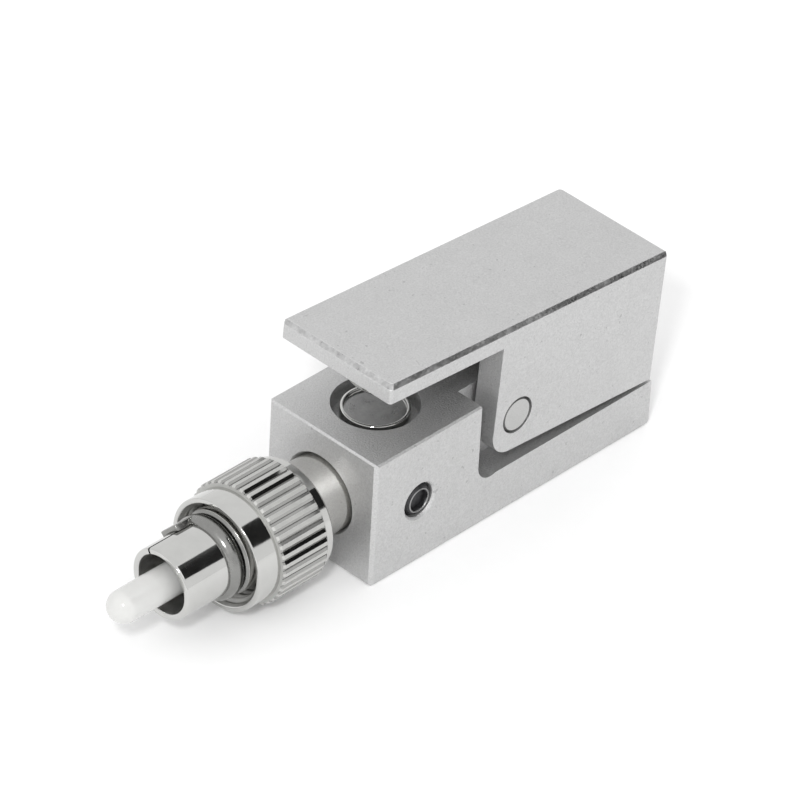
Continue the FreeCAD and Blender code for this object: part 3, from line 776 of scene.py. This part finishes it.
def make_barrel():
    """The sleeve, with an inner lip that holds the ferrule back and a slit along it."""
    low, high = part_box("connector_barrel")
    outer, inner, edge = (high.z - low.z) / 2, SLEEVE_BORE, 0.22 * MM
    lip, lip_rear, lip_front = 1.8 * MM, 27.0 * MM, 27.6 * MM
    outline = [(low.x, inner), (low.x, outer), (high.x, outer), (high.x, inner), (lip_front, inner),
               (lip_front, lip), (lip_rear, lip), (lip_rear, inner)]
    barrel = turned("connector_sleeve", rounded(outline, edge, 5), columns=128)
    slit_half, slit_rear, slit_front = 0.09 * MM, 28.0 * MM, 33.0 * MM
    slit_inside, slit_outside = 2.2 * MM, 3.3 * MM
    slit = new_box("slit", (slit_rear, -slit_half, slit_inside), (slit_front, slit_half, slit_outside))
    slit.data.transform(Matrix.Translation(FIBER_AXIS) @ Matrix.Rotation(SLIT_TURN, 4, "X"))
    cut_away(barrel, slit)
    # The sleeve's bore takes the darker colour: painted shade
    shade_the_inside(barrel, FIBER_AXIS, "bright_nickel", inner + 0.02 * MM)
    settle(barrel, "base", "connector_barrel", "bright_nickel")


def make_key_ring():
    """The beaded collar with its key, which lies along the barrel's far side, in one mesh."""
    low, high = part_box("key_ring")
    length, height, bead_steps = 1.4 * MM, 0.495 * MM, 16
    bead = []
    for k in range(bead_steps + 1):
        angle = math.pi * k / bead_steps
        bead.append((low.x + length / 2 * (1 - math.cos(angle)), SLEEVE_SEAT + height * math.sin(angle)))
    ring = turned("key_ring_plated", bead, columns=128)
    # The collar, and the key joined to it, take the darker colour: painted shade
    give_materials(ring, "collar_shade_nickel")

    half, top, rear, edge, arc_steps = 1.05 * MM, AXIS_Z + 3.4 * MM, low.x + 0.5 * MM, 0.1 * MM, 8
    outline = [(-half, top), (half, top)]
    for k in range(arc_steps + 1):
        y = half - 2 * half * k / arc_steps
        outline.append((y, AXIS_Z + math.sqrt(SLEEVE_SEAT ** 2 - y ** 2)))
    key = soft_edged(extruded("key", outline, rear, high.x), edge, 3)
    key.data.transform(turn_about(FIBER_AXIS, KEY_TURN, "X"))
    work = bmesh.new()
    work.from_mesh(ring.data)
    work.from_mesh(key.data)
    work.to_mesh(ring.data)
    work.free()
    bpy.data.objects.remove(key)
    settle(ring, "base", "key_ring", "bright_nickel")


def make_nut():
    """The nut: a bevelled knurl between two smooth bands, a rounded mouth and a thread inside."""
    low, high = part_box("coupling_nut")
    s = shape()
    centre = Vector((0, 0, (low.z + high.z) / 2))
    knurl_outer, band, rear = (high.z - low.z) / 2, 4.7 * MM, 4.75 * MM
    band_rear, knurl_rear = high.x - 2.2 * MM, low.x + 1.1 * MM
    bevel, rear_chamfer, foot = 0.15 * MM, 0.3 * MM, 0.05 * MM
    thread, wall_front, neck_hole = 4.0 * MM, low.x + 1.6 * MM, 3.53 * MM
    thread_offset, run_out, hole_chamfer = 0.14 * MM, 0.3 * MM, 0.1 * MM
    mouth, mouth_depth, mouth_round = 4.325 * MM, 0.35 * MM, 0.14 * MM
    # One groove as (share of the pitch, share of the depth): a land, then a shallow V with a cut at its foot
    groove = ((0.0, 0.0), (0.2, 0.0), (0.4, 0.0), (0.67, 0.6), (0.685, 1.0), (0.715, 1.0), (0.73, 0.6))
    pitch = 2 * math.pi / s.knurl_count
    depths = {pitch * (i + share): depth for i in range(s.knurl_count) for share, depth in groove}

    def nut_form(along, r, angle):
        if knurl_rear - 1e-8 <= along <= band_rear + 1e-8 and r > band + 1e-5:
            return min(r, knurl_outer - s.knurl_depth * depths[angle])
        if abs(r - thread) < 1e-8:
            turn = (along / s.thread_pitch - angle / (2 * math.pi)) % 1
            ends = min(1.0, (along - wall_front) / s.thread_pitch, (high.x - mouth_depth - along) / run_out)
            crest = s.thread_height * 0.5 * max(ends, 0) * (1 + math.cos(2 * math.pi * turn))
            return thread - crest + thread_offset
        return r

    outside = [(low.x, rear - rear_chamfer), (low.x + rear_chamfer, rear), (knurl_rear - foot, rear),
               (knurl_rear, band + foot), (knurl_rear, knurl_outer - bevel),
               (knurl_rear + bevel, knurl_outer), (knurl_rear + bevel + 0.001 * MM, knurl_outer),
               (band_rear - bevel, knurl_outer), (band_rear, knurl_outer - bevel), (band_rear, band)]
    rim = rounded([(high.x - 1.5 * MM, band), (high.x, band), (high.x, mouth),
                   (high.x - mouth_depth, thread + hole_chamfer)], mouth_round, 10)
    rim = [(p.x, p.y) for p in rim if p.x > high.x - 1.0 * MM]
    rows = 100
    thread_front = high.x - mouth_depth - 0.02 * MM
    inside = [(thread_front - (thread_front - wall_front) * k / rows, thread) for k in range(rows + 1)]
    inside += [(wall_front, thread + hole_chamfer), (wall_front, neck_hole),
               (low.x + hole_chamfer, neck_hole), (low.x, neck_hole + hole_chamfer)]
    nut = turned("coupling_nut_plated", outside + rim + inside, centre=centre, form=nut_form,
                 angles=list(depths))
    # The nut's mouth and thread take the darker colour: painted shade
    shade_the_inside(nut, centre, "nut_nickel", mouth - 0.05 * MM)
    give_materials(nut, "knurl_crest", "knurl_groove")
    for face in nut.data.polygons:
        radii = [(nut.data.vertices[i].co - centre).yz.length for i in face.vertices]
        knurled = max(radii) > band + 0.1 * MM
        if min(radii) > knurl_outer - 0.03 * MM or knurled and abs(face.normal.x) > 0.5:
            face.material_index = 2
        # The flanks take the darker groove colour: painted shade in the grooves
        elif knurled:
            face.material_index = 3
    settle(nut, "nut", "coupling_nut", "nut_nickel", 16)


def make_thrust_washer():
    low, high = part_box("thrust_washer")
    outer, inner, edge = (high.z - low.z) / 2, 3.35 * MM, 0.05 * MM
    outline = [(low.x, inner), (low.x, outer), (high.x, outer), (high.x, inner)]
    washer = turned("thrust_washer_steel", rounded(outline, edge))
    settle(washer, "washer", "thrust_washer", "washer_steel")


def make_ferrule():
    """The ferrule, chamfered at its tip, with a cone at its rear that leads the fiber into the bore."""
    low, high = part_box("ferrule")
    radius, bore, chamfer, edge = (high.z - low.z) / 2, 0.0635 * MM, 0.3 * MM, 0.04 * MM
    cone, cone_length = 0.5 * MM, 0.8 * MM
    outline = [(low.x, cone), (low.x, radius), (high.x - chamfer, radius), (high.x, radius - chamfer),
               (high.x, bore), (low.x + cone_length, bore)]
    ferrule = turned("ferrule_ceramic", rounded(outline, edge), columns=64)
    settle(ferrule, "ferrule", "ferrule", "zirconia")


def make_ferrule_holder():
    """The flanged sleeve that carries the ferrule, with a tail inside the spring."""
    low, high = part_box("ferrule_holder")
    flange, tail, edge = (high.z - low.z) / 2, 1.65 * MM, 0.08 * MM
    seat, seat_rear, bore = 1.255 * MM, 25.2 * MM, 0.8 * MM
    flange_rear = high.x - HOLDER_FLANGE_LENGTH
    outline = [(low.x, bore), (low.x, tail), (flange_rear, tail), (flange_rear, flange), (high.x, flange),
               (high.x, seat), (seat_rear, seat), (seat_rear, bore)]
    holder = turned("ferrule_holder_plated", rounded(outline, edge), columns=64)
    settle(holder, "ferrule", "ferrule_holder", "holder_nickel")


def make_ferrule_spring():
    """A coil from the neck's floor to the holder's flange, which is squashed as the ferrule floats back."""
    diameter = shape().ferrule_spring_wire
    flange_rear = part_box("ferrule_holder")[1].x - HOLDER_FLANGE_LENGTH
    rear, front = 17.55 * MM + diameter / 2, flange_rear - 0.05 * MM - diameter / 2
    turns, radius = 4.5, 2.25 * MM - diameter / 2
    count = round(turns * COIL_STEPS)
    points = []
    for i in range(count + 1):
        angle = 2 * math.pi * turns * i / count
        points.append(Vector((rear + (front - rear) * i / count, -radius * math.sin(angle),
                              AXIS_Z - radius * math.cos(angle))))
    spring = wire("ferrule_spring_wire", points, diameter)
    settle(spring, "base", "ferrule_spring", "spring_steel", 60)
    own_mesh(spring)


def make_dust_cap():
    """A thin tube with a domed end and a slightly rounded mouth."""
    low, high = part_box("dust_cap")
    outer, inner, steps = (high.z - low.z) / 2, 1.26 * MM, 14
    dome_x = high.x - outer
    outline = [(low.x, inner), (low.x + 0.02 * MM, outer - 0.05 * MM), (low.x + 0.08 * MM, outer)]
    for k in range(steps):
        angle = math.pi / 2 * k / steps
        outline.append((dome_x + outer * math.sin(angle), outer * math.cos(angle)))
    outline += [(high.x, 0), (dome_x, 0), (dome_x, inner)]
    settle(turned("dust_cap_moulded", outline, columns=64), "cap", "dust_cap", "cap_plastic")


# Stage


def paint_floor():
    """Plain matt backdrop board: a pale, even ground with the slightest tooth."""
    material, tree, shader, place = new_material("backdrop_board", Metallic=0.0, Roughness=0.9)
    tooth = noise(tree, place, 1.5 * MM)
    tree.links.new(tinted(tree, tooth, studio().floor, 0.005), shader.inputs["Base Color"])
    relief(tree, shader, tooth, 0.02 * MM, 0.1)
    return material


def paint_flag():
    """Matt black card that the polished metal mirrors as its dark bands."""
    material, tree, shader, place = new_material("black_flag", Metallic=0.0, Roughness=0.9)
    nap = noise(tree, place, 5 * MM)
    tree.links.new(tinted(tree, nap, linear("#0A0A0A"), 0.2), shader.inputs["Base Color"])
    return material


def stage_plane(name, material, centre, width, height, facing):
    """A flat sheet at the centre whose front looks along the facing direction."""
    work = bmesh.new()
    bmesh.ops.create_grid(work, x_segments=4, y_segments=4, size=0.5)
    mesh = bpy.data.meshes.new(name)
    work.to_mesh(mesh)
    work.free()
    mesh.transform(Matrix.Diagonal((width, height, 1, 1)))
    obj = new_object(name, mesh)
    front = Vector(facing).normalized()
    along = (Vector((1, 0, 0)) - front * front.x).normalized()
    turn = Matrix((along, front.cross(along), front)).transposed().to_4x4()
    obj.matrix_world = Matrix.Translation(centre) @ turn
    obj.data.materials.append(material)
    return obj


def lamp(name, place, target, size, power):
    """A square lamp that shines from its place at the target."""
    data = bpy.data.lights.new(name, "AREA")
    data.shape = "RECTANGLE"
    data.size, data.size_y = size, size
    data.energy = power
    obj = new_object(name, data)
    obj.location = place
    obj.rotation_mode = "QUATERNION"
    obj.rotation_quaternion = (Vector(target) - Vector(place)).to_track_quat("-Z", "Y")


def make_camera():
    """The photograph's view: from the front and the set screw's side, looking down."""
    azimuth, elevation, roll = math.radians(132.632), math.radians(36.801), math.radians(3.305)
    target, distance = Vector((7.087, 0, 10.392)) * MM, 552.6 * MM
    forward = Vector((-math.sin(azimuth) * math.cos(elevation), math.cos(azimuth) * math.cos(elevation),
                      -math.sin(elevation)))
    right = forward.cross(Vector((0, 0, 1))).normalized()
    up = right.cross(forward)
    side = right * math.cos(roll) + up * math.sin(roll)
    top = up * math.cos(roll) - right * math.sin(roll)
    data = bpy.data.cameras.new("camera")
    data.lens = studio().focal_length
    data.sensor_width = 36.0
    data.clip_start, data.clip_end = 0.01, 20.0
    camera = new_object("camera", data)
    turn = Matrix((side, top, -forward)).transposed().to_4x4()
    camera.matrix_world = Matrix.Translation(target - forward * distance) @ turn
    bpy.context.scene.camera = camera


def make_world():
    """White for what is seen directly or mirrored, a plain level for what is lit."""
    world = bpy.data.worlds.new("studio")
    world.use_nodes = True
    tree = world.node_tree
    tree.nodes.clear()
    path = add(tree, "LightPath").outputs
    seen = add(tree, "Math", {0: path["Is Camera Ray"], 1: path["Is Glossy Ray"]}, operation="MAXIMUM")
    seen = add(tree, "Math", {0: seen.outputs[0], 1: path["Is Transmission Ray"]}, operation="MAXIMUM")
    strength = add(tree, "MapRange", {"Value": seen.outputs[0], "To Min": 0.95, "To Max": 1.0})
    background = add(tree, "Background", {"Color": (1, 1, 1, 1), "Strength": strength.outputs["Result"]})
    add(tree, "OutputWorld", {"Surface": background.outputs["Background"]})
    bpy.context.scene.world = world


def make_stage():
    """White floor and surroundings, a black card for the metal to mirror, and three lamps."""
    connector, neck = Vector((26 * MM, 0, AXIS_Z)), Vector((17 * MM, 0, AXIS_Z))
    floor_width = 3.0
    stage_plane("floor", paint_floor(), Vector((0, 0, 0)), floor_width, floor_width, (0, 0, 1))
    to_flag = Vector((-0.589, 0.545, 0.597)).normalized()
    flag_centre = connector + to_flag * 0.4 - Vector((0.04, 0, 0))
    flag_width, flag_height = 0.3, 0.283
    flag = stage_plane("flag", paint_flag(), flag_centre, flag_width, flag_height, -to_flag)
    flag.visible_camera = False
    flag.visible_diffuse = False
    flag.visible_shadow = False
    lamp("key_lamp", (0.0, 0.35, 0.45), (0, 0, 0), 0.4, studio().key_power)
    to_front = Vector((0.589, 0.425, 0.687)).normalized()
    lamp("front_lamp", neck + to_front * 0.5, neck, 0.05, studio().front_power)
    to_spark = Vector((-0.45, 0.36, 0.775)).normalized()
    lamp("spark_lamp", connector + to_spark * 0.45, connector, 0.03, studio().spark_power)
    make_world()
    make_camera()
    bpy.context.scene.view_settings.view_transform = "Standard"


def operator(name, label, doc, steps):
    """An operator class that runs its steps in order."""
    def execute(self, context):
        for step in steps:
            step()
        return {"FINISHED"}
    return type("ADAPTER_OT_" + name, (bpy.types.Operator,),
                {"bl_idname": "adapter." + name, "bl_label": label, "__doc__": doc, "execute": execute})


OPERATORS = (
    operator("stage", "Stage", "Make the floor, black card, lamps, world and camera", (make_stage,)),
    operator("body", "Body and lever", "Make the blasted body and clamp lever", (make_body, make_lever)),
    operator("hinge", "Hinge", "Make the hinge pin and its return spring",
             (make_hinge_pin, make_return_spring)),
    operator("stop", "Button and cup", "Make the press button and its stop cup",
             (make_stop_cup, make_press_button)),
    operator("pads", "Clamp pads", "Make the two rubber clamp pads", (make_clamp_pads,)),
    operator("screw", "Set screw", "Make the socket set screw", (make_set_screw,)),
    operator("guide", "Fiber guide", "Make the fiber's guide tube", (make_guide_tube,)),
    operator("connector", "Connector", "Make the neck, the barrel and the keyed collar",
             (make_neck, make_barrel, make_key_ring)),
    operator("nut", "Coupling nut", "Make the knurled nut and its washer", (make_nut, make_thrust_washer)),
    operator("ferrule", "Ferrule", "Make the ferrule, its holder and spring, and the dust cap",
             (make_ferrule, make_ferrule_holder, make_ferrule_spring, make_dust_cap)),
)


class ADAPTER_PT_panel(bpy.types.Panel):
    bl_label = "Bare fiber adapter"
    bl_idname = "ADAPTER_PT_panel"
    bl_space_type = "VIEW_3D"
    bl_region_type = "UI"
    bl_category = "Adapter"

    def draw(self, context):
        for item in OPERATORS:
            self.layout.operator(item.bl_idname)


CLASSES = (AdapterShape, AdapterFinish, AdapterStudio) + OPERATORS + (ADAPTER_PT_panel,)


def register():
    for item in CLASSES:
        bpy.utils.register_class(item)
    bpy.types.Scene.adapter_shape = bpy.props.PointerProperty(type=AdapterShape)
    bpy.types.Scene.adapter_finish = bpy.props.PointerProperty(type=AdapterFinish)
    bpy.types.Scene.adapter_studio = bpy.props.PointerProperty(type=AdapterStudio)


def unregister():
    del bpy.types.Scene.adapter_studio
    del bpy.types.Scene.adapter_finish
    del bpy.types.Scene.adapter_shape
    for item in reversed(CLASSES):
        bpy.utils.unregister_class(item)


def main():
    register()
    bpy.ops.adapter.stage()
    bpy.ops.adapter.body()
    bpy.ops.adapter.hinge()
    bpy.ops.adapter.stop()
    bpy.ops.adapter.pads()
    bpy.ops.adapter.screw()
    bpy.ops.adapter.guide()
    bpy.ops.adapter.connector()
    bpy.ops.adapter.nut()
    bpy.ops.adapter.ferrule()


if __name__ == "__main__":
    main()
